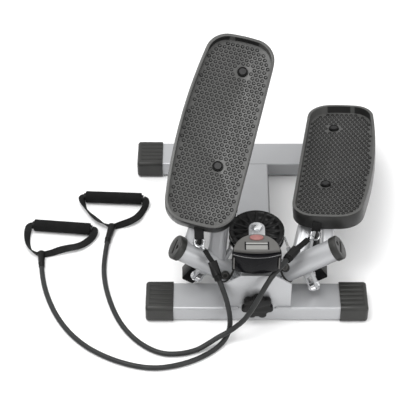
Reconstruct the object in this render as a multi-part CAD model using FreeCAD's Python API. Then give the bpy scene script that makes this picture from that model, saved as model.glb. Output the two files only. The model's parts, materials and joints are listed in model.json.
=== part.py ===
# A twisting mini stepper with two resistance bands, as separate sub-parts.
# Millimetres, +Z up, +Y away from the user's front, origin under the middle of the main tube.
import FreeCAD, Part
import math
import os

V = FreeCAD.Vector
X, Y, Z = V(1, 0, 0), V(0, 1, 0), V(0, 0, 1)

# ---- driving dimensions -------------------------------------------------------------------
TUBE_W, TUBE_H, TUBE_WALL, TUBE_ROUND = 60.0, 30.0, 2.0, 4.0   # section of all three frame tubes
BASE_LENGTH = 420.0                     # front face of the front tube to back face of the rear tube
FRONT_HALF, REAR_HALF = 188.5, 214.4    # half lengths of the cross tubes
CAP_LONG, CAP_WALL = 48.0, 3.0          # end caps: length along the tube and wall outside it
FLOOR = -CAP_WALL                       # the surface the stepper stands on

AXIS_TILT = 34.1                        # each pivot axis rises outward by this angle
HUB_END = V(130.9, -147.7, 112.0)       # outer end of the right hub sleeve, on its axis
HUB_LONG, HUB_R = 96.0, 19.5
STROKE = 41.85                          # swing of an arm between its two limits, in degrees
SHAFT_R, BUSH_GAP = 12.0, 0.05

PEDAL_MIDDLE = V(141.2, 71.2, 121.5)    # middle of the lowered right pedal's rim
PEDAL_YAW, PEDAL_PITCH, PEDAL_ROLL = -8.9, -8.4, -6.0
PEDAL_LONG, PEDAL_IN, PEDAL_OUT = 358.0, 58.5, 75.0
TRAY_DEEP, TRAY_FLOOR, SKIRT, TRAY_WALL = 15.0, 3.0, 27.0, 5.0
SCREW_U, SCREW_V = -7.7, (118.0, -63.2)

LEVER_AT, LEVER_R, LEVER_FORWARD, LEVER_BOLT_R = 62.0, 42.5, 39.3, 3.0
LUG_AT, LUG_R, LUG_TURN = 80.0, 32.0, 25.0
DAMPER_R, DAMPER_LONG, ROD_R, ROD_LONG = 12.5, 260.0, 3.5, 230.0
EYE_R, EYE_HOLE, EYE_THICK = 9.0, 6.0, 8.0
TAIL_Y, TAIL_DOWN, TAIL_PIN_R = 126.0, 54.0, 4.0   # the damper's tail pin, behind and below the sleeve

POST_HALF, POST_TOP_HALF, POST_TOP, POST_SHOULDER, SHEET = 57.0, 28.0, 111.0, 89.0, 3.0
WHEEL_Y, WHEEL_R, WHEEL_H, WHEEL_Z = -100.0, 48.0, 18.0, 101.0
STRIP_HALF, STRIP_Z, LOW_STRIP_Z = 14.0, 112.0, 87.0
POST_BACK, SHAFT_WALL_BACK = -158.0, -126.0
MONITOR_X, MONITOR_HALF, MONITOR_LOW = -4.0, 41.0, 128.0
MONITOR_FRONT, MONITOR_SIDE, MONITOR_BACK = -218.0, -209.0, -168.0
COVER_SET_BACK = 5.0                    # how far the cover's front edge lies behind the housing's rim
MONITOR_RIM, MONITOR_TOP = 168.0, 175.0
WINDOW_HALF, WINDOW_FRONT, WINDOW_BACK = 18.5, -207.0, -191.0
BUTTON_Y, BUTTON_HALF_X, BUTTON_HALF_Y = -180.5, 11.5, 6.0
KNOB_R, KNOB_Z, KNOB_THICK = 27.5, 43.0, 9.0

BAND_D = 9.0                            # outside diameter of the elastic tubes
GRIP_R = 11.0

PARTS = {}
PARALLEL = math.radians(AXIS_TILT)
AXIS = V(math.cos(PARALLEL), 0, math.sin(PARALLEL))
ACROSS = V(-math.sin(PARALLEL), 0, math.cos(PARALLEL))


# ---- small helpers ------------------------------------------------------------------------
def box(x0, x1, y0, y1, z0, z1):
    return Part.makeBox(x1 - x0, y1 - y0, z1 - z0, V(x0, y0, z0))


def rod(start, end, radius):
    return Part.makeCylinder(radius, (end - start).Length, start, end - start)


def ring(centre, direction, outer, inner, thick):
    """A washer whose middle is at centre."""
    d = V(direction)
    d.normalize()
    start = centre - d * (thick / 2)
    return rod(start, start + d * thick, outer).cut(rod(start - d, start + d * (thick + 1), inner))


def rounded_box(x0, x1, y0, y1, z0, z1, radius, along):
    """A box whose four edges along one axis are rounded."""
    solid = box(x0, x1, y0, y1, z0, z1)
    edges = [e for e in solid.Edges if abs(e.tangentAt(0).dot(along)) > 0.99]
    return solid.makeFillet(radius, edges)


def hexagon(centre, direction, across_flats, height):
    """A hexagonal bolt head or nut that starts at centre."""
    frame = FreeCAD.Rotation(Z, direction)
    corner = across_flats / math.sqrt(3)
    points = [V(corner * math.cos(k * math.pi / 3), corner * math.sin(k * math.pi / 3), 0) for k in range(7)]
    face = Part.Face(Part.makePolygon(points))
    solid = face.extrude(V(0, 0, height))
    solid.Placement = FreeCAD.Placement(centre, frame)
    return solid


def bolt(start, end, radius, head):
    """A round shank from start to end with a hexagon head beyond start and a nut beyond end."""
    along = end - start
    along.normalize()
    head_solid = hexagon(start - along * head, along, radius * 3.4, head)
    nut = hexagon(end, along, radius * 3.2, head)
    return head_solid.fuse(rod(start, end, radius)).fuse(nut).removeSplitter()


def mirrored(shape):
    return shape.mirror(V(0, 0, 0), X)


def save(name, shape):
    PARTS[name] = shape
    shape.exportStep("parts/%s.step" % name)


def on_hub(s):
    """The point on the right pivot axis s millimetres inward from the sleeve's outer end."""
    return HUB_END - AXIS * s


def raised_left(shape):
    """A copy of a lowered right-arm shape as it sits on the raised left arm."""
    copy = shape.copy()
    copy.rotate(HUB_END, AXIS, STROKE)
    return mirrored(copy)


def save_arm_part(name, shape):
    save("right_" + name, shape)
    save("left_" + name, raised_left(shape))


# ---- pedal frame --------------------------------------------------------------------------
PEDAL_TURN = (FreeCAD.Rotation(Z, PEDAL_YAW)
              .multiply(FreeCAD.Rotation(X, PEDAL_PITCH))
              .multiply(FreeCAD.Rotation(Y, PEDAL_ROLL)))
PEDAL_PLACE = FreeCAD.Placement(PEDAL_MIDDLE, PEDAL_TURN)


def at_pedal(u, v, w):
    return PEDAL_PLACE.multVec(V(u, v, w))


def pedal_outline(inset, low, high):
    """A slab of the pedal's plan shape, drawn in by inset, between two heights."""
    end = PEDAL_LONG / 2 - inset
    inner = -PEDAL_IN + inset
    outer = PEDAL_OUT - inset
    shoulder = outer - 15.0
    a, b = V(inner, -end + 6, low), V(shoulder, -end + 6, low)
    c, d = V(shoulder, end - 6, low), V(inner, end - 6, low)
    near = Part.Arc(a, V((inner + shoulder) / 2, -end, low), b).toShape()
    side = Part.Arc(b, V(outer, 0, low), c).toShape()
    far = Part.Arc(c, V((inner + shoulder) / 2, end, low), d).toShape()
    straight = Part.LineSegment(d, a).toShape()
    slab = Part.Face(Part.Wire([near, side, far, straight])).extrude(V(0, 0, high - low))
    upright = [e for e in slab.Edges if abs(abs(e.tangentAt(e.FirstParameter).z) - 1) < 1e-6]
    return slab.makeFillet(40.0 - inset * 0.8, upright)


def pedal_screws(radius, head_radius):
    """The two screws that hold the pedal on its carrier."""
    solids = []
    for v in SCREW_V:
        shank = rod(V(SCREW_U, v, -32.0), V(SCREW_U, v, -TRAY_DEEP), radius)
        head = rod(V(SCREW_U, v, -TRAY_DEEP), V(SCREW_U, v, -TRAY_DEEP + 3.0), head_radius)
        solids.append(shank.fuse(head).removeSplitter())
    return solids


def make_pedal():
    body = pedal_outline(0.0, -SKIRT, 0.0)
    body = body.cut(pedal_outline(TRAY_WALL, -TRAY_DEEP, 1.0))
    body = body.cut(pedal_outline(TRAY_WALL - 1.5, -SKIRT - 1.0, -TRAY_DEEP - TRAY_FLOOR))
    for screw in pedal_screws(3.0, 6.0):
        body = body.cut(screw)
    body.Placement = PEDAL_PLACE
    return body


# ---- arms ---------------------------------------------------------------------------------
def link(p, q, width, height, radius, up):
    """A rounded rectangular tube, solid, from p to q."""
    along = q - p
    length = along.Length
    along.normalize()
    side = along.cross(up)
    side.normalize()
    top = side.cross(along)
    solid = rounded_box(-width / 2, width / 2, 0, length, -height / 2, height / 2, radius, Y)
    matrix = FreeCAD.Matrix(side.x, along.x, top.x, p.x, side.y, along.y, top.y, p.y,
                            side.z, along.z, top.z, p.z, 0, 0, 0, 1)
    solid.Placement = FreeCAD.Placement(matrix)
    return solid


def lug_point():
    """Where the pulley cable is hooked on the right arm."""
    turn = math.radians(LUG_TURN)
    return on_hub(LUG_AT) + (Y * math.cos(turn) + ACROSS * math.sin(turn)) * LUG_R


def make_lug():
    """A flat tongue on the sleeve with a rounded end and a hole for the cable's end."""
    eye = lug_point()
    tongue = link(on_hub(LUG_AT), eye, 4.0, 14.0, 0.5, (eye - on_hub(LUG_AT)).cross(AXIS))
    tongue = tongue.fuse(ring(eye, AXIS, 7.0, 2.5, 4.0))
    return tongue.cut(rod(eye - AXIS * 9, eye + AXIS * 9, 2.5))


def make_arm():
    """Carrier channel under the pedal with its two legs down to the hub sleeve."""
    carrier_top = -TRAY_DEEP - TRAY_FLOOR
    mid = carrier_top - 11.0
    up = PEDAL_TURN.multVec(Z)
    carrier = link(at_pedal(SCREW_U, -165.0, mid), at_pedal(SCREW_U, 150.0, mid), 36.0, 22.0, 4.0, up)
    outer_leg = link(at_pedal(4.0, -148.0, mid - 2), on_hub(13.0), 20.0, 24.0, 6.0, up)
    elbow = at_pedal(SCREW_U - 22.0, -118.0, mid - 6)
    inner_leg = link(elbow, on_hub(72.0), 32.0, 26.0, 10.0, up)
    brace = link(elbow, at_pedal(SCREW_U, -60.0, mid - 4), 32.0, 22.0, 8.0, up)
    arm = carrier.fuse([outer_leg, inner_leg, brace, Part.makeSphere(14.0, elbow), make_lug()])
    arm = arm.cut(rod(on_hub(-20.0), on_hub(130.0), HUB_R))
    arm = arm.cut(rod(on_hub(-20.0), on_hub(0.0), HUB_R + 2.0))
    above = pedal_outline(-30.0, carrier_top, 30.0)
    above.Placement = PEDAL_PLACE
    arm = arm.cut(above)
    skirt = pedal_outline(0.0, -SKIRT, 0.0).cut(pedal_outline(TRAY_WALL - 1.5, -SKIRT - 1, 1.0))
    skirt.Placement = PEDAL_PLACE
    arm = arm.cut(skirt)
    for screw in pedal_screws(3.0, 6.0):
        screw.Placement = PEDAL_PLACE
        arm = arm.cut(screw)
    solids = sorted(arm.Solids, key=lambda s: s.Volume)
    return solids[-1]


def lever_tip():
    turn = math.radians(LEVER_FORWARD)
    down = ACROSS * -math.cos(turn) - Y * math.sin(turn)
    return on_hub(LEVER_AT) + down * LEVER_R


def make_lever():
    """Two fork plates that carry the damper rod's eye, joined by a web on their front side."""
    root, tip = on_hub(LEVER_AT), lever_tip()
    front = (tip - root).cross(AXIS)
    front.normalize()
    web = link(root + front * 5, root + (tip - root) * 0.60 + front * 5, EYE_THICK + 1.0, 3.0, 0.5, front)
    plates = [web.cut(rod(on_hub(130), on_hub(-20), HUB_R))]
    for side in (-1, 1):
        middle = AXIS * (side * (EYE_THICK / 2 + 2.0))
        plate = link(root + middle, tip + middle, 3.0, 13.0, 0.5, AXIS.cross(tip - root))
        plate = plate.fuse(ring(tip + middle, AXIS, 7.5, LEVER_BOLT_R, 3.0))
        plate = plate.cut(rod(on_hub(130), on_hub(-20), HUB_R))
        plate = plate.cut(rod(tip - AXIS * 40, tip + AXIS * 40, LEVER_BOLT_R))
        plates.append(plate.removeSplitter())
    return Part.makeCompound(plates)


def make_hub_caps():
    """Black cap on the sleeve's outer end, and the black bush ring on its inner end."""
    outer = rod(on_hub(-12.0), on_hub(0.0), HUB_R + 2.0)
    outer = outer.makeFillet(3.0, [e for e in outer.Edges if e.CenterOfMass.distanceToPoint(on_hub(-12.0)) < 1])
    slot = link(on_hub(-12.0) - Y * 13, on_hub(-12.0) + Y * 13, 5.0, 4.5, 1.0, ACROSS)
    outer = outer.cut(slot)
    outer = outer.cut(rod(on_hub(-14.0) + ACROSS * 10.5, on_hub(-9.0) + ACROSS * 10.5, 4.0))
    bush = ring(on_hub(HUB_LONG + 1.5), AXIS, HUB_R + 2.0, SHAFT_R + BUSH_GAP, 3.0)
    return Part.makeCompound([outer, bush, make_hub_plug()])


def make_hub_plug():
    """A round plug in the sleeve wall near its inner end."""
    turn = math.radians(162.0 - STROKE)
    out = Y * math.cos(turn) + ACROSS * math.sin(turn)
    seat = on_hub(HUB_LONG - 8.5) + out * HUB_R
    plug = rod(seat - out * 2.5, seat + out * 3.5, 7.8)
    return plug.cut(rod(on_hub(130), on_hub(-20), HUB_R))


def make_sleeve():
    sleeve = rod(on_hub(HUB_LONG), on_hub(0.0), HUB_R)
    return sleeve.cut(rod(on_hub(HUB_LONG + 1), on_hub(6.0), SHAFT_R + BUSH_GAP))


# ---- frame --------------------------------------------------------------------------------
def tube_x(half, y0, y1):
    outer = rounded_box(-half, half, y0, y1, 0, TUBE_H, TUBE_ROUND, X)
    w = TUBE_WALL
    inner = rounded_box(-half - 1, half + 1, y0 + w, y1 - w, w, TUBE_H - w, TUBE_ROUND - w, X)
    return outer.cut(inner)


def end_cap(half, y0, y1):
    """Right-hand cap of a cross tube: a socket over the tube's end with gripping grooves on top."""
    w = CAP_WALL
    end = half + w
    body = box(end - CAP_LONG, end, y0 - w, y1 + w, -w, TUBE_H + w)
    long_edges = [e for e in body.Edges if abs(e.tangentAt(0).dot(X)) > 0.99]
    body = body.makeFillet(TUBE_ROUND + w, long_edges)
    outer_corners = [e for e in body.Edges if abs(e.tangentAt(0).dot(Z)) > 0.99 and e.CenterOfMass.x > end - 1]
    body = body.makeFillet(6.0, outer_corners) if outer_corners else body
    socket = rounded_box(end - CAP_LONG - 1, half, y0, y1, 0, TUBE_H, TUBE_ROUND, X)
    body = body.cut(socket)
    for k in range(5):
        y = y0 + 10 + k * (y1 - y0 - 20) / 4
        groove = box(end - CAP_LONG - 1, end - 8, y - 1.2, y + 1.2, TUBE_H + w - 1.2, TUBE_H + w + 1)
        body = body.cut(groove)
    return body


def pulley_strip(z):
    """One of the two strips that carry the pulley's axle bolt, rounded at its end."""
    flat = box(-STRIP_HALF, STRIP_HALF, POST_BACK - 3, WHEEL_Y, z, z + SHEET)
    return flat.fuse(rod(V(0, WHEEL_Y, z), V(0, WHEEL_Y, z + SHEET), STRIP_HALF))


def make_post():
    """Bent sheet post: front plate, side walls that hold the shafts, and a top that ends in a strip."""
    y0 = -BASE_LENGTH / 2 + 2.0
    outline = [V(-POST_HALF, y0, TUBE_H), V(POST_HALF, y0, TUBE_H), V(POST_HALF, y0, POST_SHOULDER),
               V(POST_TOP_HALF, y0, POST_TOP), V(-POST_TOP_HALF, y0, POST_TOP),
               V(-POST_HALF, y0, POST_SHOULDER), V(-POST_HALF, y0, TUBE_H)]
    plate = Part.Face(Part.makePolygon(outline)).extrude(V(0, SHEET, 0))
    top = box(-POST_TOP_HALF, POST_TOP_HALF, y0, POST_BACK, POST_TOP - SHEET, POST_TOP)
    step = box(-STRIP_HALF, STRIP_HALF, POST_BACK - 4, POST_BACK, POST_TOP - SHEET, STRIP_Z + SHEET)
    post = plate.fuse([top, step, pulley_strip(STRIP_Z), pulley_strip(LOW_STRIP_Z)])
    for side in (-1, 1):
        wall_x = side * POST_TOP_HALF
        wall = box(min(wall_x, wall_x - side * SHEET), max(wall_x, wall_x - side * SHEET),
                   y0, SHAFT_WALL_BACK, TUBE_H, 86.0)
        post = post.fuse(wall)
    back = box(-POST_TOP_HALF, POST_TOP_HALF, POST_BACK - 3, POST_BACK, TUBE_H, POST_TOP)
    post = post.fuse(back).removeSplitter()
    post = post.cut(rod(V(0, WHEEL_Y, 60), V(0, WHEEL_Y, 130), 5.0))
    post = post.cut(rod(V(0, y0 - 5, KNOB_Z), V(0, -190, KNOB_Z), 4.05))
    for shaft in shafts():
        post = post.cut(shaft)
    return post


def shafts():
    """The two pivot shafts, welded through the post's side walls."""
    start = on_hub(HUB_LONG + 3.0 + 42.0)
    right = rod(start, on_hub(7.0), SHAFT_R)
    right = right.common(box(2.0, 400, -400, 400, TUBE_H + 0.5, 400))
    return [right, mirrored(right)]


def make_welds():
    """Weld beads along the post's foot and around the main tube's ends."""
    beads = []
    y0 = -BASE_LENGTH / 2 + 2.0
    bead = 2.2
    for side in (-1, 1):
        for k in range(9):
            x = side * (33.0 + k * 2.9)
            beads.append(Part.makeSphere(bead, V(x, y0 - 0.6, TUBE_H + 0.9)))
    whole = beads[0].fuse(beads[1:])
    below = tube_x(FRONT_HALF, -BASE_LENGTH / 2, -BASE_LENGTH / 2 + TUBE_W)
    return Part.makeCompound(whole.cut(make_post()).cut(below).Solids)


def monitor_profile(inset, z0, z1, set_back=0.0):
    """The monitor's plan shape: a shallow curved front and a half-round back."""
    half = MONITOR_HALF - inset
    front, back = MONITOR_FRONT + inset + set_back, MONITOR_BACK - inset
    y_side = MONITOR_SIDE + set_back * 0.6
    left, right = V(-half, y_side, z0), V(half, y_side, z0)
    front_arc = Part.Arc(left, V(0, front, z0), right).toShape()
    back_arc = Part.Arc(right, V(0, back, z0), left).toShape()
    return Part.Face(Part.Wire([front_arc, back_arc])).extrude(V(0, 0, z1 - z0))


def oval(half_x, half_y, y, z0, z1):
    """An upright oval prism."""
    face = Part.Face(Part.Wire(Part.Ellipse(V(0, y, z0), half_x, half_y).toShape()))
    return face.extrude(V(0, 0, z1 - z0))


def make_monitor():
    """Housing on its foot, top cover, window, button and circuit board."""
    housing = monitor_profile(0.0, MONITOR_LOW, MONITOR_RIM)
    rim = [e for e in housing.Edges if e.BoundBox.ZMin > MONITOR_RIM - 0.01]
    housing = housing.makeFillet(2.0, rim)
    housing = housing.cut(monitor_profile(2.5, MONITOR_LOW + 2.5, MONITOR_RIM - 6, COVER_SET_BACK))
    housing = housing.cut(monitor_profile(2.5, MONITOR_RIM - 7, 200.0, COVER_SET_BACK))
    foot = box(-13, 13, -200, -172, POST_TOP, MONITOR_LOW + 0.1)
    housing = housing.fuse(foot).removeSplitter()
    cover = monitor_profile(2.5, MONITOR_RIM - 5, MONITOR_TOP, COVER_SET_BACK)
    top_edge = [e for e in cover.Edges if e.BoundBox.ZMin > MONITOR_TOP - 0.01]
    cover = cover.makeFillet(3.0, top_edge)
    cover = cover.cut(monitor_profile(5.0, MONITOR_RIM - 6, MONITOR_TOP - 3, COVER_SET_BACK))
    window = box(-WINDOW_HALF, WINDOW_HALF, WINDOW_FRONT, WINDOW_BACK, MONITOR_TOP - 3.0, MONITOR_TOP - 0.6)
    cover = cover.cut(box(-WINDOW_HALF, WINDOW_HALF, WINDOW_FRONT, WINDOW_BACK, MONITOR_TOP - 4, 200))
    cover = cover.cut(oval(BUTTON_HALF_X + 0.35, BUTTON_HALF_Y + 0.35, BUTTON_Y, MONITOR_TOP - 5, 200))
    button = oval(BUTTON_HALF_X, BUTTON_HALF_Y, BUTTON_Y, MONITOR_TOP - 5.0, MONITOR_TOP + 2.0)
    board = box(-26, 26, -203, -182, MONITOR_LOW + 10, MONITOR_LOW + 11.6)
    posts = [rod(V(x, -193, MONITOR_LOW + 2.5), V(x, -193, MONITOR_LOW + 10), 3.0) for x in (-22, 22)]
    board = board.fuse(posts)
    pieces = {"monitor_housing": housing, "monitor_cover": cover, "monitor_window": window,
              "monitor_button": button, "monitor_board": board}
    for piece in pieces.values():
        piece.translate(V(MONITOR_X, 0, 0))
    return pieces


def knob_outline(radius, z0, z1):
    """A star knob's body with seven lobes, its axis on Z."""
    body = Part.makeCylinder(radius * 0.80, z1 - z0, V(0, 0, z0))
    for k in range(7):
        turn = 2 * math.pi * k / 7 + math.pi / 2
        centre = V(radius * 0.74 * math.cos(turn), radius * 0.74 * math.sin(turn), z0)
        body = body.fuse(Part.makeCylinder(radius * 0.26, z1 - z0, centre))
    return body.removeSplitter()


def make_knob():
    place = FreeCAD.Placement(V(0, -BASE_LENGTH / 2 - 1.0, KNOB_Z), FreeCAD.Rotation(X, 90))
    knob = knob_outline(KNOB_R, 0.0, KNOB_THICK)
    bore_deep = KNOB_THICK - 3.0
    knob = knob.cut(Part.makeCylinder(4.0, bore_deep + 1, V(0, 0, -1)))
    screw = Part.makeCylinder(4.0, bore_deep + 26, V(0, 0, -26))
    knob.Placement = place
    screw.Placement = place
    return knob, screw


def make_wheel():
    """Cable pulley with spokes and a rim groove."""
    low = WHEEL_Z - WHEEL_H / 2
    wheel = Part.makeCylinder(WHEEL_R, WHEEL_H, V(0, WHEEL_Y, low))
    groove = ring(V(0, WHEEL_Y, WHEEL_Z), Z, WHEEL_R + 5, WHEEL_R - 5.0, 6.0)
    wheel = wheel.cut(groove)
    pocket = ring(V(0, WHEEL_Y, WHEEL_Z + WHEEL_H / 2), Z, WHEEL_R - 8.0, 17.0, 8.0)
    for k in range(16):
        turn = math.degrees(2 * math.pi * k / 16)
        spoke = box(16.0, WHEEL_R - 7, -1.5, 1.5, -20, 20)
        spoke.Placement = FreeCAD.Placement(V(0, WHEEL_Y, WHEEL_Z), FreeCAD.Rotation(Z, turn))
        pocket = pocket.cut(spoke)
    wheel = wheel.cut(pocket)
    return wheel.cut(rod(V(0, WHEEL_Y, low - 1), V(0, WHEEL_Y, low + WHEEL_H + 1), 5.05))


# ---- dampers ------------------------------------------------------------------------------
def tail_pin():
    """Where the right damper's tail is pinned, in the plane the lever's bolt moves in."""
    return on_hub(LEVER_AT) - ACROSS * TAIL_DOWN + Y * (TAIL_Y - HUB_END.y)


def damper(tip):
    """The right damper for one place of the lever's bolt: its body, and its rod with the eye."""
    tail = tail_pin()
    along = tip - tail
    along.normalize()
    down = AXIS.cross(along)
    front = tail + along * DAMPER_LONG
    block = link(front - along * 26 + down * 9, front + down * 9, 24.0, 42.0, 4.0, down)
    barrel = rod(tail + along * 18, front - along * 20, DAMPER_R)
    eye_end = rod(tail - AXIS * 5, tail + AXIS * 5, 10.0)
    neck = link(tail, tail + along * 20, 10.0, 14.0, 1.0, down)
    body = block.fuse([barrel, eye_end, neck]).removeSplitter()
    body = body.cut(rod(tail - AXIS * 9, tail + AXIS * 9, TAIL_PIN_R + BUSH_GAP))
    body = body.cut(rod(front + along * 5, tail + along * 30, ROD_R + BUSH_GAP))
    eye = ring(tip, AXIS, EYE_R, EYE_HOLE, EYE_THICK)
    shaft = rod(tip - along * (EYE_R - 1.5), tip - along * ROD_LONG, ROD_R)
    return body, shaft.fuse(eye).removeSplitter()


def damper_bracket():
    """Two ears on the right of the rear tube, and the pin through them and the damper's tail."""
    tail = tail_pin()
    half = BASE_LENGTH / 2
    tube = rounded_box(-REAR_HALF, REAR_HALF, half - TUBE_W, half, 0, TUBE_H, TUBE_ROUND, X)
    ears = []
    for side in (-1, 1):
        root = tail + AXIS * (side * 7.5)
        ear = link(root, root + Y * 30 - ACROSS * 14, 4.0, 20.0, 0.5, ACROSS)
        ear = ear.fuse(ring(root, AXIS, 10.0, TAIL_PIN_R, 4.0))
        ear = ear.cut(rod(tail - AXIS * 12, tail + AXIS * 12, TAIL_PIN_R))
        ears.append(ear.cut(tube).removeSplitter())
    pin = bolt(tail - AXIS * 9.5, tail + AXIS * 9.5, TAIL_PIN_R, 5.0)
    return ears, pin


# ---- bands --------------------------------------------------------------------------------
def tube_path(points):
    """Straight runs joined by tangent arcs as large as the two runs at each corner allow."""
    edges = []
    at = points[0]
    radii = []
    for k in range(1, len(points) - 1):
        before = points[k] - points[k - 1]
        after = points[k + 1] - points[k]
        short = min(before.Length, after.Length)
        u, w = V(before), V(after)
        u.normalize()
        w.normalize()
        half_turn = u.getAngle(w) / 2
        set_back = 0.45 * short
        radii.append(set_back / math.tan(half_turn))
        start, end = points[k] - u * set_back, points[k] + w * set_back
        to_middle = w - u
        to_middle.normalize()
        reach = radii[-1] * (1 / math.cos(half_turn) - 1)
        middle = points[k] + to_middle * reach
        edges.append(Part.LineSegment(at, start).toShape())
        edges.append(Part.Arc(start, middle, end).toShape())
        at = end
    edges.append(Part.LineSegment(at, points[-1]).toShape())
    return Part.Wire(edges), radii


def swept_tube(points, diameter, name):
    path, radii = tube_path(points)
    along = points[1] - points[0]
    circle = Part.Wire(Part.Circle(points[0], along, diameter / 2).toShape())
    tube = path.makePipeShell([circle], True, True)
    expected = math.pi * diameter ** 2 / 4 * path.Length
    print("%s: length %.1f mm, smallest radius %.1f mm, volume ratio %.4f"
          % (name, path.Length, min(radii), tube.Volume / expected))
    return tube


LIE = FLOOR + BAND_D / 2                # height of a tube's centre line when it lies on the floor


def route(rows):
    return [V(*p) for p in rows]


# Each route starts in its buckle and ends in its cone.
LEFT_ROUTE = [
    (-66, -206, 99), (-57, -217, 80), (-50.5, -226, 57.5), (-46.5, -233, 36), (-46.5, -243, 16), (-55, -258, 4),
    (-70, -275, LIE), (-98, -296, LIE), (-134, -311, LIE), (-174, -318, LIE), (-214, -311, LIE),
    (-254, -295, LIE), (-292, -271, LIE), (-324, -238, LIE), (-349, -198, LIE), (-367, -154, LIE),
    (-378, -112, LIE), (-380.5, -90, LIE + 1.5)]
RIGHT_ROUTE = [
    (48, -178, 118), (37, -196, 120), (24, -213, 119), (11, -227, 105), (0, -236, 84), (-11, -241, 62),
    (-22, -245.5, 43), (-35, -249, 30), (-50, -254.5, 20.5), (-67, -261, 15), (-85, -269.5, 7), (-104, -279, LIE),
    (-133, -287, LIE), (-163, -286, LIE), (-191, -271, LIE), (-216, -247, LIE), (-238, -214, LIE),
    (-255, -171, LIE), (-267, -124, LIE), (-271, -74, LIE), (-266.5, -30, LIE + 2)]


def strap(points, width, thick):
    """Webbing as a flat band along a route, each stretch a thin slab, rounded over at the turns."""
    solids = []
    for p, q in zip(points, points[1:]):
        solids.append(link(p, q, width, thick, thick * 0.4, Z))
    for p in points[1:-1]:
        solids.append(Part.makeSphere(thick * 0.62, p))
    return solids[0].fuse(solids[1:]).removeSplitter()


def buckle(top, tube_points):
    """The plastic connector between the webbing and the tube, ending in a ferrule on the tube."""
    start, after = tube_points[0], tube_points[1]
    along = after - start
    along.normalize()
    neck = start - along * 9.0
    ferrule = rod(neck, start, 6.6)
    body = link(top, neck + along * 2.0, 16.0, 10.0, 4.0, Z)
    return body.fuse([ferrule, Part.makeSphere(5.0, neck)]).removeSplitter()


def end_cone(tube_points, top):
    """The tapered sleeve over the tube's far end, widening towards the handle's webbing."""
    end = tube_points[-1]
    along = end - tube_points[-2]
    along.normalize()
    collar = end + along * 9.0
    taper = Part.makeCone(5.4, 7.0, (top - collar).Length, collar, top - collar)
    return rod(end, collar, 5.4).fuse([taper, Part.makeSphere(5.9, collar)]).removeSplitter()


def handle(name, grip_a, grip_b, branches):
    """Foam grip on its core, and the webbing from the core's two ends to the cone."""
    along = grip_b - grip_a
    along.normalize()
    core = rod(grip_a - along * 3, grip_b + along * 3, 7.0)
    core = core.cut(rod(grip_a - along * 4, grip_b + along * 4, 4.0))
    grip = rod(grip_a, grip_b, GRIP_R).cut(rod(grip_a - along, grip_b + along, 7.0))
    save(name + "_handle_core", core)
    save(name + "_handle_grip", grip)
    sides = []
    for end, direction, rows in ((grip_a, along * -1, branches[0]), (grip_b, along, branches[1])):
        points = [end + direction * 3.5, end + direction * 7.5] + route(rows)
        sides.append(strap(points, 14.0, 3.0))
    webbing = sides[0].fuse(sides[1])
    for solid in (PARTS[name + "_band_cone"], core, rod(grip_a, grip_b, GRIP_R + 0.1)):
        webbing = webbing.cut(solid)
    save(name + "_handle_strap", webbing)


def snap_hook(hoop_centre, hoop_normal, strap_top):
    """Split ring on the arm's tab and the snap hook that hangs in it."""
    along = strap_top - hoop_centre
    along.normalize()
    hoop = Part.makeTorus(8.5, 1.6, hoop_centre, hoop_normal)
    neck = hoop_centre + along * 9.5
    eye = Part.makeTorus(5.0, 1.5, neck + along * 3.4, along.cross(hoop_normal))
    shank = rod(neck + along * 8.0, strap_top, 3.0)
    return hoop.fuse([eye, shank]).removeSplitter()


HOOK = {
    "left": {"ring": V(-99, -145, 127.5), "strap": V(-90, -160, 124.5), "buckle": V(-77, -182, 118)},
    "right": {"ring": V(101, -110, 108), "strap": V(88, -124, 113), "buckle": V(66, -152, 118)}}
CONE_TOP = {"left": V(-384, -56, 5), "right": V(-259, 12, 5)}
GRIP_ENDS = {"left": (V(-402, 10, 8), V(-298, 0, 8)), "right": (V(-312, 84, 8), V(-207, 79, 8))}
STRAP_TURNS = {
    "left": ([(-413, -2, 6), (-413, -22, 3), (-408, -44, 1), (-394, -60, 2), (-387, -60, 5)],
             [(-291, -5, 6), (-295, -21, 3), (-314, -40, 1), (-346, -48, 1), (-368, -60, 2), (-381, -60, 5)]),
    "right": ([(-318, 72, 6), (-311, 55, 3), (-292, 31, 1), (-276, 16, 2), (-262, 10, 5)],
              [(-199, 66, 6), (-204, 50, 3), (-214, 31, 1), (-234, 18, 2), (-256, 10, 5)])}


def make_band(name, tube_points):
    hook = HOOK[name]
    save(name + "_band_tube", swept_tube(tube_points, BAND_D, name + " band"))
    save(name + "_band_buckle", buckle(hook["buckle"], tube_points))
    save(name + "_band_cone", end_cone(tube_points, CONE_TOP[name]))
    save(name + "_band_hook", snap_hook(hook["ring"], V(0.3, -0.75, 0.6), hook["strap"]))
    gap = hook["buckle"] - hook["strap"]
    gap.normalize()
    webbing = link(hook["strap"] + gap * 2.4, hook["buckle"], 9.0, 4.0, 1.0, Z)
    save(name + "_band_webbing", webbing.cut(PARTS[name + "_band_buckle"]))
    handle(name, GRIP_ENDS[name][0], GRIP_ENDS[name][1], STRAP_TURNS[name])


def band_tab(name, bottom, top):
    """Webbing tab on the near end of the pedal that carries the split ring."""
    tab = link(bottom, top, 16.0, 3.0, 1.0, Y)
    for other in ("_pedal", "_arm_tube", "_hub_sleeve", "_hub_caps", "_band_hook"):
        tab = tab.cut(PARTS[name + other])
    return sorted(tab.Solids, key=lambda s: s.Volume)[-1]


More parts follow.
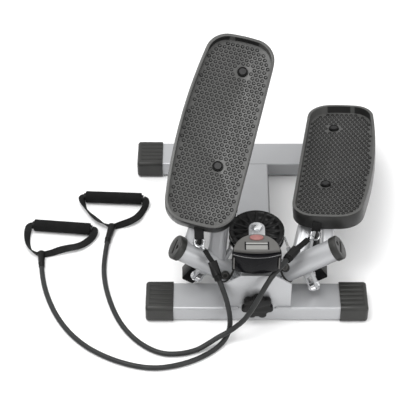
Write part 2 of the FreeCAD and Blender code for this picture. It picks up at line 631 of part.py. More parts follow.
def make_cables():
    """The two visible runs of the steel cable, from the pulley's rim down to the arms' lugs."""
    leave = math.radians(18.0)
    groove = WHEEL_R - 2.9
    start = V(groove * math.cos(leave), WHEEL_Y + groove * math.sin(leave), WHEEL_Z)
    lowered = lug_point()
    raised = Part.Vertex(lowered)
    raised.rotate(HUB_END, AXIS, STROKE)
    rim = rod(V(0, WHEEL_Y, 0), V(0, WHEEL_Y, 200), WHEEL_R + 0.6)
    for name, end in (("right", lowered), ("left", raised.Point)):
        along = end - start
        along.normalize()
        run = rod(start, end - along * 8.0, 2.0).cut(rim)
        save(name + "_cable_run", run if name == "right" else mirrored(run))


# ---- build --------------------------------------------------------------------------------
def build():
    os.makedirs("parts", exist_ok=True)
    half = BASE_LENGTH / 2
    save("front_cross_tube", tube_x(FRONT_HALF, -half, -half + TUBE_W))
    save("rear_cross_tube", tube_x(REAR_HALF, half - TUBE_W, half))
    w = TUBE_WALL
    long = half - TUBE_W
    main = rounded_box(-TUBE_W / 2, TUBE_W / 2, -long, long, 0, TUBE_H, TUBE_ROUND, Y)
    main = main.cut(rounded_box(-TUBE_W / 2 + w, TUBE_W / 2 - w, -long - 1, long + 1, w, TUBE_H - w, TUBE_ROUND - w, Y))
    save("main_tube", main)
    front_cap = end_cap(FRONT_HALF, -half, -half + TUBE_W)
    rear_cap = end_cap(REAR_HALF, half - TUBE_W, half)
    save("front_right_end_cap", front_cap)
    save("front_left_end_cap", mirrored(front_cap))
    save("rear_right_end_cap", rear_cap)
    save("rear_left_end_cap", mirrored(rear_cap))
    save("post_bracket", make_post())
    save("post_welds", make_welds())
    save("pivot_shafts", Part.makeCompound(shafts()))
    save("pulley_axle_bolt", bolt(V(0, WHEEL_Y, STRIP_Z + SHEET), V(0, WHEEL_Y, LOW_STRIP_Z), 5.0, 5.0))
    save("pulley_wheel", make_wheel())
    save("pulley_cable_wrap", Part.makeTorus(WHEEL_R - 2.9, 2.0, V(0, WHEEL_Y, WHEEL_Z), Z))
    for name, shape in make_monitor().items():
        save(name, shape)
    knob, screw = make_knob()
    save("star_knob", knob)
    save("knob_screw", screw)

    save_arm_part("hub_sleeve", make_sleeve())
    save_arm_part("hub_caps", make_hub_caps())
    save_arm_part("arm_tube", make_arm())
    save_arm_part("lever", make_lever())
    tip = lever_tip()
    save_arm_part("lever_bolt", bolt(tip - AXIS * 7.5, tip + AXIS * 7.5, LEVER_BOLT_R, 2.5))
    save_arm_part("pedal", make_pedal())
    screws = []
    for screw_solid in pedal_screws(3.0, 6.0):
        screw_solid.Placement = PEDAL_PLACE
        screws.append(screw_solid)
    save_arm_part("pedal_screws", Part.makeCompound(screws))

    raised = Part.Vertex(tip)
    raised.rotate(HUB_END, AXIS, STROKE)
    print("tail %s lever tip lowered %s raised %s" % (tail_pin(), tip, raised.Point))
    body, shaft = damper(tip)
    save("right_damper_body", body)
    save("right_damper_rod", shaft)
    body, shaft = damper(raised.Point)
    save("left_damper_body", mirrored(body))
    save("left_damper_rod", mirrored(shaft))
    ears, pin = damper_bracket()
    save("damper_ears", Part.makeCompound(ears + [mirrored(ear) for ear in ears]))
    save("damper_pins", Part.makeCompound([pin, mirrored(pin)]))

    make_band("left", route(LEFT_ROUTE))
    make_band("right", route(RIGHT_ROUTE))
    save("left_band_tab", band_tab("left", V(-99, -146, 135), V(-100, -134, 152)))
    save("right_band_tab", band_tab("right", V(101, -109, 117), V(103, -104, 134)))
    make_cables()
    print("%d nodes" % len(PARTS))


build()
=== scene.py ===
import json
import math

import bpy
from mathutils import Matrix, Vector


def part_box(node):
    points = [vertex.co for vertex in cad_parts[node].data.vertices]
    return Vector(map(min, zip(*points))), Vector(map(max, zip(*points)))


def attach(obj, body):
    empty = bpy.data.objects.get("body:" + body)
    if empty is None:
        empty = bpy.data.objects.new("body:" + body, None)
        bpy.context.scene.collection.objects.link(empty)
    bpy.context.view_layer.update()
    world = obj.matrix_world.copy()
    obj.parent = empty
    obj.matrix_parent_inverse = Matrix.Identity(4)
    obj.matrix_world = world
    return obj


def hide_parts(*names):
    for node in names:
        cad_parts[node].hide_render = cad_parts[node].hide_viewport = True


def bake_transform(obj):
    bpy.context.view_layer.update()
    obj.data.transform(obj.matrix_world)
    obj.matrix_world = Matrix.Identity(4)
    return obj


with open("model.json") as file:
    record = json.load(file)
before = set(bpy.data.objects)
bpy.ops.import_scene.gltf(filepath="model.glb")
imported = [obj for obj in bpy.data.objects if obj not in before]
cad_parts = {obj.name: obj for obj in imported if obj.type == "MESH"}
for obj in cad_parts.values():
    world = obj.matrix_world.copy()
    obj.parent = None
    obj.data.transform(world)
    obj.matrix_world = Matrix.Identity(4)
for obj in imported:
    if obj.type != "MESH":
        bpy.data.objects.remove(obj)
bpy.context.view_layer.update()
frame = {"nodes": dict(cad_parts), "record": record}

nodes = frame["nodes"]
record = frame["record"]
home = {node: body for body, held in record["behaviour"]["bodies"].items() for node in held}

# ---- the stepper's own geometry, in metres ------------------------------------------------
TILT = math.radians(34.1)                              # each pivot axis rises outward by this angle
STROKE = math.radians(41.85)                           # swing of an arm between its two limits
AXIS = Vector((math.cos(TILT), 0, math.sin(TILT)))     # along the right pivot axis
ACROSS = Vector((-math.sin(TILT), 0, math.cos(TILT)))  # square to the axis and to +Y
AHEAD = Vector((0, 1, 0))
HUB_END = Vector((0.1309, -0.1477, 0.112))             # outer end of the right hub sleeve
HUB_R = 0.0195
WHEEL_Y, WHEEL_Z, WHEEL_R = -0.100, 0.101, 0.0480
CABLE_R = 0.0020
BAND_D = 0.009
FLIP = Matrix.Diagonal((-1, 1, 1, 1))                  # the left side mirrors the right one
# From the lowered right arm to a raised one, which FLIP then turns into the left arm.
RAISE = Matrix.Translation(HUB_END) @ Matrix.Rotation(STROKE, 4, AXIS) @ Matrix.Translation(-HUB_END)
RIGHT_PEDAL = (Matrix.Translation((0.1412, 0.0712, 0.1215))
               @ Matrix.Rotation(math.radians(-8.9), 4, "Z")
               @ Matrix.Rotation(math.radians(-8.4), 4, "X")
               @ Matrix.Rotation(math.radians(-6.0), 4, "Y"))
PEDAL = {"right": RIGHT_PEDAL, "left": FLIP @ RAISE @ RIGHT_PEDAL}

# The pedal's outline in its own frame: u across, v along, the rim at height 0.
PEDAL_IN, PEDAL_OUT, PEDAL_SWELL = 0.0585, 0.060, 0.015
PEDAL_HALF, SWELL_HALF, CORNER_R, CORNER_OUT = 0.176, 0.173, 0.040, 0.062
SCREW_U, SCREW_V = -0.0077, (0.118, -0.0632)
STUD_ACROSS, STUD_ALONG, STUD_SHIFT, STUD_HEIGHT = 0.0088, 0.00785, 0.008, -0.0146

WINDOW_FRONT, WINDOW_BACK = -0.207, -0.191
LIE = 0.0015                                           # height of a tube's middle where it lies
LEFT_BAND = [
    (-.066, -.206, .099), (-.057, -.217, .080), (-.0505, -.226, .0575), (-.0465, -.233, .036),
    (-.0465, -.243, .016), (-.055, -.258, .004), (-.070, -.275, LIE), (-.098, -.296, LIE),
    (-.134, -.311, LIE), (-.174, -.318, LIE), (-.214, -.311, LIE), (-.254, -.295, LIE),
    (-.292, -.271, LIE), (-.324, -.238, LIE), (-.349, -.198, LIE), (-.367, -.154, LIE),
    (-.378, -.112, LIE), (-.3805, -.090, LIE + .0015)]
RIGHT_BAND = [
    (.048, -.178, .118), (.037, -.196, .120), (.024, -.213, .119), (.011, -.227, .105),
    (0, -.236, .084), (-.011, -.241, .062), (-.022, -.2455, .043), (-.035, -.249, .030),
    (-.050, -.2545, .0205), (-.067, -.261, .015), (-.085, -.2695, .007), (-.104, -.279, LIE),
    (-.133, -.287, LIE), (-.163, -.286, LIE), (-.191, -.271, LIE), (-.216, -.247, LIE),
    (-.238, -.214, LIE), (-.255, -.171, LIE), (-.267, -.124, LIE), (-.271, -.074, LIE),
    (-.2665, -.030, LIE + .002)]


# ---- materials ----------------------------------------------------------------------------
def node_tree(name):
    made = bpy.data.materials.new(name)
    made.use_nodes = True
    tree = made.node_tree
    return made, tree, tree.nodes["Principled BSDF"]


def noise(tree, place, scale, detail=3.0, rough=0.55):
    n = tree.nodes.new("ShaderNodeTexNoise")
    n.inputs["Scale"].default_value = scale
    n.inputs["Detail"].default_value = detail
    n.inputs["Roughness"].default_value = rough
    tree.links.new(place, n.inputs["Vector"])
    return n.outputs["Fac"]


def ramp(tree, source, low, high, start=0.3, stop=0.7):
    r = tree.nodes.new("ShaderNodeValToRGB")
    r.color_ramp.elements[0].position = start
    r.color_ramp.elements[1].position = stop
    r.color_ramp.elements[0].color = (*low, 1)
    r.color_ramp.elements[1].color = (*high, 1)
    tree.links.new(source, r.inputs["Fac"])
    return r.outputs["Color"]


def spread(tree, source, low, high):
    m = tree.nodes.new("ShaderNodeMapRange")
    m.inputs["From Min"].default_value = 0.3
    m.inputs["From Max"].default_value = 0.7
    m.inputs["To Min"].default_value = low
    m.inputs["To Max"].default_value = high
    tree.links.new(source, m.inputs["Value"])
    return m.outputs["Result"]


def bumped(tree, shader, height, strength, distance, before=None):
    b = tree.nodes.new("ShaderNodeBump")
    b.inputs["Strength"].default_value = strength
    b.inputs["Distance"].default_value = distance
    tree.links.new(height, b.inputs["Height"])
    if before is not None:
        tree.links.new(before, b.inputs["Normal"])
    tree.links.new(b.outputs["Normal"], shader.inputs["Normal"])
    return b.outputs["Normal"]


def object_place(tree):
    return tree.nodes.new("ShaderNodeTexCoord").outputs["Object"]


def moulded(name, dark, light, rough, grain, grain_deep, metallic=0.0, patch=14.0, gloss=0.35):
    """A finish with slow colour patches, roughness that varies and a fine surface grain."""
    made, tree, shader = node_tree(name)
    place = object_place(tree)
    slow = noise(tree, place, patch, 4.0)
    tree.links.new(ramp(tree, slow, dark, light), shader.inputs["Base Color"])
    wear = noise(tree, place, patch * 6, 5.0)
    tree.links.new(spread(tree, wear, rough[0], rough[1]), shader.inputs["Roughness"])
    bumped(tree, shader, noise(tree, place, grain, 2.0), 0.35, grain_deep)
    shader.inputs["Metallic"].default_value = metallic
    shader.inputs["Specular IOR Level"].default_value = gloss
    return made, shader


def plastic(*settings):
    return moulded(*settings)[0]


def silver_paint():
    made, shader = moulded("silver_paint", (.39, .395, .405), (.425, .43, .44), (.38, .43), 1800, .000012,
                           .50, 7, .4)
    shader.inputs["Coat Weight"].default_value = 0.15
    shader.inputs["Coat Roughness"].default_value = 0.25
    return made


def gloss_black():
    made, shader = moulded("gloss_black", (.003, .003, .004), (.005, .005, .006), (.10, .16), 160, .00002,
                           0, 14, .05)
    shader.inputs["Coat Weight"].default_value = 0.04
    shader.inputs["Coat Roughness"].default_value = 0.06
    return made


def display():
    """Pale display behind clear plastic, with one dark segment line near its top."""
    made, tree, shader = node_tree("window")
    place = object_place(tree)
    split = tree.nodes.new("ShaderNodeSeparateXYZ")
    tree.links.new(place, split.inputs["Vector"])
    band = tree.nodes.new("ShaderNodeValToRGB")
    shift = tree.nodes.new("ShaderNodeMapRange")
    shift.inputs["From Min"].default_value = WINDOW_FRONT
    shift.inputs["From Max"].default_value = WINDOW_BACK
    tree.links.new(split.outputs["Y"], shift.inputs["Value"])
    tree.links.new(shift.outputs["Result"], band.inputs["Fac"])
    band.color_ramp.elements[0].color = (.21, .21, .20, 1)
    band.color_ramp.elements[1].color = (.02, .02, .02, 1)
    band.color_ramp.elements[0].position = 0.60
    band.color_ramp.elements[1].position = 0.66
    line_end = band.color_ramp.elements.new(0.78)
    line_end.color = (.02, .02, .02, 1)
    far_side = band.color_ramp.elements.new(0.84)
    far_side.color = (.30, .30, .29, 1)
    tree.links.new(band.outputs["Color"], shader.inputs["Base Color"])
    tree.links.new(spread(tree, noise(tree, place, 300), .10, .2), shader.inputs["Roughness"])
    return made


def plated(name, colour, rough):
    """Bright plated steel with faint clouding and fine scratches."""
    made, tree, shader = node_tree(name)
    place = object_place(tree)
    cloud = noise(tree, place, 90, 4.0)
    low = tuple(c * 0.82 for c in colour)
    tree.links.new(ramp(tree, cloud, low, colour), shader.inputs["Base Color"])
    scratches = noise(tree, place, 540, 4.0)
    tree.links.new(spread(tree, scratches, rough[0], rough[1]), shader.inputs["Roughness"])
    bumped(tree, shader, noise(tree, place, 1500, 2.0), 0.15, .00004)
    shader.inputs["Metallic"].default_value = 1.0
    return made


def foam():
    made, tree, shader = node_tree("foam")
    place = object_place(tree)
    cells = tree.nodes.new("ShaderNodeTexVoronoi")
    cells.inputs["Scale"].default_value = 900
    tree.links.new(place, cells.inputs["Vector"])
    tree.links.new(ramp(tree, cells.outputs["Distance"], (.004, .004, .004), (.010, .010, .010), .1, .8),
                   shader.inputs["Base Color"])
    tree.links.new(spread(tree, noise(tree, place, 60), .82, .98), shader.inputs["Roughness"])
    shader.inputs["Specular IOR Level"].default_value = 0.15
    soft = bumped(tree, shader, noise(tree, place, 55, 3.0), 0.4, .0006)
    bumped(tree, shader, cells.outputs["Distance"], 0.5, .0003, soft)
    return made


def webbing():
    """Woven nylon: two sets of fine ribs that cross."""
    made, tree, shader = node_tree("webbing")
    place = object_place(tree)
    heights = []
    for turn in (35, -55):
        mapping = tree.nodes.new("ShaderNodeMapping")
        mapping.inputs["Rotation"].default_value = (0.3, 0.2, math.radians(turn))
        tree.links.new(place, mapping.inputs["Vector"])
        wave = tree.nodes.new("ShaderNodeTexWave")
        wave.inputs["Scale"].default_value = 190
        wave.inputs["Distortion"].default_value = 0.6
        tree.links.new(mapping.outputs["Vector"], wave.inputs["Vector"])
        heights.append(wave.outputs["Fac"])
    both = tree.nodes.new("ShaderNodeMath")
    both.operation = "MAXIMUM"
    tree.links.new(heights[0], both.inputs[0])
    tree.links.new(heights[1], both.inputs[1])
    tree.links.new(ramp(tree, both.outputs[0], (.003, .003, .003), (.010, .010, .010), .2, 1.0),
                   shader.inputs["Base Color"])
    tree.links.new(spread(tree, noise(tree, place, 80), .6, .85), shader.inputs["Roughness"])
    shader.inputs["Specular IOR Level"].default_value = 0.2
    bumped(tree, shader, both.outputs[0], 0.6, .0003)
    return made


def stranded():
    """Twisted steel wire."""
    made, tree, shader = node_tree("steel_cable")
    place = object_place(tree)
    wave = tree.nodes.new("ShaderNodeTexWave")
    wave.inputs["Scale"].default_value = 160
    wave.inputs["Distortion"].default_value = 1.0
    wave.bands_direction = "DIAGONAL"
    tree.links.new(place, wave.inputs["Vector"])
    tree.links.new(ramp(tree, wave.outputs["Fac"], (.30, .30, .30), (.68, .68, .68), 0.1, 0.9),
                   shader.inputs["Base Color"])
    tree.links.new(spread(tree, noise(tree, place, 400), .25, .4), shader.inputs["Roughness"])
    bumped(tree, shader, wave.outputs["Fac"], 0.6, .0003)
    shader.inputs["Metallic"].default_value = 1.0
    return made


FINISH = {
    "silver_paint": silver_paint(),
    "black_plastic": plastic("black_plastic", (.004, .004, .004), (.007, .007, .007), (.28, .40), 900, .00006,
                             0, 14, .16),
    "pedal_plastic": plastic("pedal_plastic", (.060, .060, .058), (.078, .078, .075), (.34, .46),
                             800, .00012),
    "grey_plastic": plastic("grey_plastic", (.080, .078, .074), (.105, .102, .098), (.5, .62), 1400, .00015),
    "gloss_black": gloss_black(),
    "window": display(),
    "red_button": plastic("red_button", (.22, .085, .08), (.28, .13, .12), (.35, .5), 700, .00008, 0, 120),
    "board": plastic("board", (.01, .10, .03), (.02, .16, .05), (.35, .5), 500, .0001),
    "zinc": plated("zinc", (.72, .73, .74), (.20, .32)),
    "chrome": plated("chrome", (.85, .85, .86), (.06, .12)),
    "steel_cable": stranded(),
    "band_rubber": plastic("band_rubber", (.016, .017, .017), (.025, .026, .026), (.36, .48), 260, .00012,
                           0, 40, .25),
    "foam": foam(),
    "webbing": webbing()}
CAP_PLASTIC = plastic("cap_plastic", (.016, .016, .015), (.027, .027, .025), (.34, .46), 700, .00014)
TREAD_PLASTIC = plastic("tread_plastic", (.006, .006, .006), (.012, .012, .012), (.40, .52), 900, .00008)
SPECIAL = {node: CAP_PLASTIC for node in nodes if node.endswith("_end_cap") or node.endswith("_hub_caps")}
SPECIAL.update({node: TREAD_PLASTIC for node in nodes if node.endswith("_pedal_screws")})
SLOT = {row["node"]: row["material_slot"] for row in record["subparts"]}


def paint(obj, slot, finish=None):
    obj.data.materials.clear()
    obj.data.materials.append(finish or FINISH[slot])


for node, obj in nodes.items():
    obj.data.materials.clear()
    obj.data.materials.append(SPECIAL.get(node, FINISH[SLOT[node]]))


# ---- modelling helpers --------------------------------------------------------------------
def only(obj):
    bpy.ops.object.select_all(action="DESELECT")
    obj.select_set(True)
    bpy.context.view_layer.objects.active = obj


def done():
    bpy.ops.object.mode_set(mode="OBJECT")


def apply(obj, kind, **settings):
    only(obj)
    modifier = obj.modifiers.new(kind.lower(), kind)
    for key, value in settings.items():
        setattr(modifier, key, value)
    bpy.ops.object.modifier_apply(modifier=modifier.name)


def pick_faces(obj, wanted):
    """Selects, in edit mode, the faces for which wanted(face) is true."""
    bpy.ops.object.mode_set(mode="OBJECT")
    for v in obj.data.vertices:
        v.select = False
    for e in obj.data.edges:
        e.select = False
    for face in obj.data.polygons:
        face.select = bool(wanted(face))
    bpy.ops.object.mode_set(mode="EDIT")
    bpy.ops.mesh.select_mode(type="FACE")


def settle(obj, matrix):
    """Puts a finished mesh at its place, with the object itself at the origin."""
    obj.data.transform(matrix @ obj.matrix_world)
    obj.matrix_world = Matrix.Identity(4)
    if matrix.determinant() < 0:
        obj.data.flip_normals()


def placed(centre, direction):
    """A matrix that puts the origin at centre and +Z along direction."""
    turn = Vector(direction).to_track_quat("Z", "Y").to_matrix().to_4x4()
    return Matrix.Translation(centre) @ turn


def smooth(obj, degrees):
    only(obj)
    bpy.ops.object.shade_smooth_by_angle(angle=math.radians(degrees))


def soften(obj, width, degrees=30):
    apply(obj, "BEVEL", width=width, segments=2, limit_method="ANGLE", angle_limit=math.radians(degrees))


def softened(node, width):
    """The same piece with its edges rounded over, in place of the plain one."""
    piece = bpy.data.objects.new(node + "_finished", nodes[node].data.copy())
    bpy.context.scene.collection.objects.link(piece)
    only(piece)
    bpy.ops.object.mode_set(mode="EDIT")
    bpy.ops.mesh.select_all(action="SELECT")
    bpy.ops.mesh.remove_doubles(threshold=2e-6)
    if width > 0:
        bpy.ops.mesh.dissolve_limited(angle_limit=math.radians(0.4))
    done()
    if width > 0:
        apply(piece, "BEVEL", width=width, segments=2, limit_method="ANGLE",
              angle_limit=math.radians(32), miter_outer="MITER_ARC")
    smooth(piece, 38)
    paint(piece, SLOT[node], SPECIAL.get(node))
    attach(piece, home[node])
    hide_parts(node)


def curve_along(name, points, tilts=None):
    line = bpy.data.curves.new(name, "CURVE")
    line.dimensions = "3D"
    spline = line.splines.new("NURBS")
    spline.points.add(len(points) - 1)
    for k, (point, place) in enumerate(zip(spline.points, points)):
        point.co = (*place, 1)
        if tilts:
            point.tilt = tilts[k]
    spline.order_u = 3
    spline.use_endpoint_u = True
    spline.resolution_u = 10
    obj = bpy.data.objects.new(name, line)
    bpy.context.scene.collection.objects.link(obj)
    return obj


def round_wire(name, points, radius, resolution):
    """A curve with a round section and closed ends."""
    wire = curve_along(name, points)
    wire.data.bevel_depth = radius
    wire.data.bevel_resolution = resolution
    wire.data.use_fill_caps = True
    return wire


def meshed(curve, degrees):
    """The same curve as a mesh, shaded smooth below the given angle."""
    only(curve)
    bpy.ops.object.convert(target="MESH")
    mesh = bpy.context.object
    bpy.ops.object.shade_smooth_by_angle(angle=math.radians(degrees))
    return mesh


# ---- CAD pieces with rounded edges --------------------------------------------------------
# How far each piece's edges are rounded. The ribbed wheel stays as it is, and is only shaded smooth.
ROUNDED = {
    "post_bracket": 0.0008, "star_knob": 0.0016, "pulley_wheel": 0, "monitor_housing": 0.0008,
    "monitor_cover": 0.0005, "monitor_button": 0.0012, "damper_ears": 0.0005,
    "front_left_end_cap": 0.0008, "front_right_end_cap": 0.0008,
    "rear_left_end_cap": 0.0008, "rear_right_end_cap": 0.0008, "pulley_axle_bolt": 0.0005}
for side in ("left", "right"):
    ROUNDED[side + "_pedal"] = 0.0016
    ROUNDED[side + "_hub_caps"] = 0.0006
    ROUNDED[side + "_lever"] = 0.0005
    ROUNDED[side + "_lever_bolt"] = 0.0004
    ROUNDED[side + "_damper_body"] = 0.0008
    ROUNDED[side + "_band_buckle"] = 0.0010
    ROUNDED[side + "_band_cone"] = 0.0008
    ROUNDED[side + "_arm_tube"] = 0.0010
    ROUNDED[side + "_band_tab"] = 0.0004
for node, width in ROUNDED.items():
    softened(node, width)


# ---- small trim on the monitor and the sleeves, and a painted highlight on the housing's rim ---
def bar(name, low, high, slot, round_over):
    """A slim moulded bar between two corners, its edges rounded."""
    bpy.ops.object.select_all(action="DESELECT")
    middle = [(a + b) / 2 for a, b in zip(low, high)]
    bpy.ops.mesh.primitive_cube_add(size=1, location=middle, scale=[b - a for a, b in zip(low, high)])
    piece = bpy.context.object
    piece.name = name
    bpy.ops.object.transform_apply(location=True, rotation=True, scale=True)
    pick_faces(piece, lambda face: face.normal.z > 0.9)
    bpy.ops.mesh.inset(thickness=round_over)
    done()
    soften(piece, round_over, 40)
    smooth(piece, 40)
    paint(piece, slot)
    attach(piece, "frame")


pane_low, pane_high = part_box("monitor_window")
for k, x in enumerate((pane_low[0] - 0.0006, pane_high[0] + 0.0006)):
    bar("window_side_bar_%d" % (k + 1), (x - 0.0011, pane_low[1] - 0.0006, pane_high[2] - 0.001),
        (x + 0.0011, pane_high[1] + 0.0012, pane_high[2] + 0.0012), "gloss_black", 0.0004)
shell_low, shell_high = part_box("monitor_housing")
for k, (x, way) in enumerate(((shell_low[0], 1), (shell_high[0], -1))):
    bar("housing_side_trim_%d" % (k + 1), (x + way * 0.0035 - 0.0012, -0.2132, 0.134),
        (x + way * 0.0035 + 0.0012, -0.2112, 0.160), "grey_plastic", 0.0003)


def make_plug_face(side):
    """Grey disc in the round black plug at the sleeve's inner end."""
    turn = math.radians(162.0) - STROKE
    out = AHEAD * math.cos(turn) + ACROSS * math.sin(turn)
    centre = HUB_END - AXIS * 0.0875 + out * (HUB_R + 0.0030)
    bpy.ops.object.select_all(action="DESELECT")
    bpy.ops.mesh.primitive_cylinder_add(vertices=32, radius=0.0055, depth=0.0018)
    disc = bpy.context.object
    disc.name = side + "_plug_face"
    pick_faces(disc, lambda face: face.normal.z > 0.9)
    bpy.ops.mesh.inset(thickness=0.0014)
    bpy.ops.transform.translate(value=(0, 0, -0.0004))
    done()
    soften(disc, 0.0003)
    place = placed(centre, out)
    settle(disc, FLIP @ RAISE @ place if side == "left" else place)
    smooth(disc, 40)
    paint(disc, "grey_plastic")
    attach(disc, side + "_arm")


def make_rim_highlight():
    """A glossy bead along the top of the housing's front, lighter than the black housing: a painted highlight
    where its rounded rim reflects the light.
    """
    middle = (shell_low[0] + shell_high[0]) / 2
    top = shell_high[2] - 0.0022
    half, front, sweep = 0.0405, -0.2184, 0.0088
    points = [(middle + half * t, front + sweep * t * t, top) for t in (-1, -0.75, -0.4, 0, 0.4, 0.75, 1)]
    highlight_strip = meshed(round_wire("housing_rim_highlight", points, 0.0007, 3), 60)
    # The bead's finish is a lighter, far glossier copy of the black housing finish. It is a painted highlight
    # along the rim.
    highlight_finish = plastic("rim_gloss", (.05, .05, .05), (.08, .08, .08), (.08, .14), 300, .00002, 0, 14, .8)
    paint(highlight_strip, "gloss_black", highlight_finish)
    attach(highlight_strip, "frame")


def make_ferrule_ribs(side, points):
    """Moulded ribs round the ferrule where the elastic tube leaves its buckle."""
    start, after = Vector(points[0]), Vector(points[1])
    along = (after - start).normalized()
    for k in range(3):
        bpy.ops.object.select_all(action="DESELECT")
        bpy.ops.mesh.primitive_torus_add(major_segments=32, minor_segments=8,
                                         major_radius=0.0066, minor_radius=0.0009)
        rib = bpy.context.object
        rib.name = "%s_ferrule_rib_%d" % (side, k + 1)
        pick_faces(rib, lambda face: True)
        bpy.ops.transform.resize(value=(1, 1, 0.8))
        done()
        settle(rib, placed(start - along * (0.0018 + 0.0026 * k), along))
        smooth(rib, 60)
        paint(rib, "black_plastic")
        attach(rib, "frame")


make_plug_face("left")
make_plug_face("right")
make_rim_highlight()
make_ferrule_ribs("left", LEFT_BAND)
make_ferrule_ribs("right", RIGHT_BAND)


# ---- pedal treads -------------------------------------------------------------------------
SKIRT_PLASTIC = plastic("skirt_plastic", (.012, .012, .012), (.020, .020, .019), (.30, .42), 800, .00012)


def darken_skirt(side):
    """The pedal's outer walls are smoother and darker than its rim and tray."""
    pedal = bpy.data.objects[side + "_pedal_finished"]
    pedal.data.materials.append(SKIRT_PLASTIC)
    back = PEDAL[side].inverted()
    turn = back.to_3x3()
    for face in pedal.data.polygons:
        centre = back @ face.center
        across = turn @ face.normal
        if abs(across.z) < 0.6 and not inside_outline(centre.x, centre.y, 0.0030):
            face.material_index = 1


def inside_outline(u, v, margin):
    """Whether a point lies margin inside the pedal's outline."""
    outer = PEDAL_OUT + PEDAL_SWELL * (1 - (v / SWELL_HALF) ** 2)
    if u < margin - PEDAL_IN or u > outer - margin or abs(v) > PEDAL_HALF - margin:
        return False
    for centre, way in ((CORNER_R - PEDAL_IN, -1), (CORNER_OUT - CORNER_R, 1)):
        du = (u - centre) * way
        dv = abs(v) - (PEDAL_HALF - CORNER_R)
        if du > 0 and dv > 0 and math.hypot(du, dv) > CORNER_R - margin:
            return False
    return True


def make_stud():
    """One grip ring of the tread, flat underneath and rounded on top."""
    bpy.ops.object.select_all(action="DESELECT")
    bpy.ops.mesh.primitive_torus_add(major_segments=12, minor_segments=5,
                                     major_radius=0.0026, minor_radius=0.0009)
    stud = bpy.context.object
    pick_faces(stud, lambda face: face.center.z < -0.0002)
    bpy.ops.transform.resize(value=(1, 1, 0.4))
    done()
    return stud


def on_tread(u, v, margin):
    """Whether a point lies on the tray's floor, clear of its walls and screws."""
    for screw in SCREW_V:
        if math.hypot(u - SCREW_U, v - screw) < 0.0135:
            return False
    return inside_outline(u, v, margin)


def make_tread(side):
    """Staggered rows of grip rings over the tray's floor, joined into one piece."""
    stud = make_stud()
    copies = []
    for row in range(-23, 24):
        for column in range(-9, 10):
            u = column * STUD_ACROSS + (STUD_ACROSS / 2 if row % 2 else 0) + STUD_SHIFT
            v = row * STUD_ALONG
            if on_tread(u, v, 0.0092):
                copy = bpy.data.objects.new("stud", stud.data.copy())
                copy.data.transform(Matrix.Translation((u, v, STUD_HEIGHT)))
                bpy.context.scene.collection.objects.link(copy)
                copies.append(copy)
    bpy.data.objects.remove(stud)
    bpy.ops.object.select_all(action="DESELECT")
    for copy in copies:
        copy.select_set(True)
    bpy.context.view_layer.objects.active = copies[0]
    bpy.ops.object.join()
    tread = bpy.context.object
    tread.name = side + "_pedal_tread"
    settle(tread, PEDAL[side])
    smooth(tread, 40)
    paint(tread, "pedal_plastic", TREAD_PLASTIC)
    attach(tread, side + "_arm")


def make_screw_cups(side):
    """The black raised cup round each of the two pedal screws."""
    for k, v in enumerate(SCREW_V):
        bpy.ops.object.select_all(action="DESELECT")
        bpy.ops.mesh.primitive_cylinder_add(vertices=40, radius=0.0098, depth=0.0034,
                                            location=(SCREW_U, v, -0.0134))
        cup = bpy.context.object
        pick_faces(cup, lambda face: face.normal.z > 0.9)
        bpy.ops.transform.resize(value=(0.9, 0.9, 1), center_override=(SCREW_U, v, -0.0117))
        bpy.ops.mesh.inset(thickness=0.0022)
        bpy.ops.transform.translate(value=(0, 0, -0.0016))
        bpy.ops.mesh.inset(thickness=0.0004)
        done()
        cup.name = "%s_screw_cup_%d" % (side, k + 1)
        soften(cup, 0.0003)
        settle(cup, PEDAL[side])
        smooth(cup, 40)
        paint(cup, "black_plastic")
        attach(cup, side + "_arm")


for side in ("left", "right"):
    darken_skirt(side)
    make_tread(side)
    make_screw_cups(side)


# ---- elastic bands ------------------------------------------------------------------------
def make_band(side, points):
    tube = round_wire(side + "_elastic_tube", points, BAND_D / 2, 6)
    tube.data.materials.append(FINISH["band_rubber"])
    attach(tube, "frame")
    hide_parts(side + "_band_tube")


make_band("left", LEFT_BAND)
make_band("right", RIGHT_BAND)


# ---- webbing and cables that cross to the arms --------------------------------------------
def ribbon(name, points, tilts, width, thick):
    """Webbing with rounded edges along a route, tilted point by point."""
    strip = curve_along(name, points, tilts)
    strip.data.twist_mode = "Z_UP"
    strip.data.extrude = width / 2 - thick / 2
    strip.data.bevel_depth = thick / 2
    strip.data.bevel_resolution = 2
    strip.data.use_fill_caps = True
    strip = meshed(strip, 50)
    paint(strip, "webbing")
    return strip


def make_hook_webbing(side, strap, buckle):
    strap, buckle = Vector(strap), Vector(buckle)
    run = buckle - strap
    sag = Vector((0, 0, -0.0012))
    points = [strap + run * t + sag * math.sin(math.pi * t) for t in (0.06, 0.3, 0.6, 0.8, 0.97)]
    strip = ribbon(side + "_hook_webbing", points, [math.radians(70)] * 5, 0.010, 0.0032)
    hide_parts(side + "_band_webbing")
    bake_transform(strip)


def make_cable_run(side):
    """The cable between the wheel's groove and the arm's lug, starting clear of the wheel's rim."""
    leave = math.radians(18.0)
    groove = WHEEL_R - 0.0029
    start = Vector((groove * math.cos(leave), WHEEL_Y + groove * math.sin(leave), WHEEL_Z))
    turn = math.radians(25.0)
    lug = HUB_END - AXIS * 0.080 + (AHEAD * math.cos(turn) + ACROSS * math.sin(turn)) * 0.032
    if side == "left":
        lug = FLIP @ (RAISE @ lug)
        start = FLIP @ start
    along = (lug - start).normalized()
    first = start + along * (0.026 if side == "left" else 0.017)
    last = lug - along * 0.008
    points = [first.lerp(last, t) for t in (0, 0.2, 0.4, 0.6, 0.8, 1)]
    cable = meshed(round_wire(side + "_pulley_cable", points, CABLE_R, 4), 50)
    paint(cable, "steel_cable")
    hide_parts(side + "_cable_run")
    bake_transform(cable)


make_hook_webbing("left", (-.090, -.160, .1245), (-.077, -.182, .118))
make_hook_webbing("right", (.088, -.124, .113), (.066, -.152, .118))
make_cable_run("left")
make_cable_run("right")


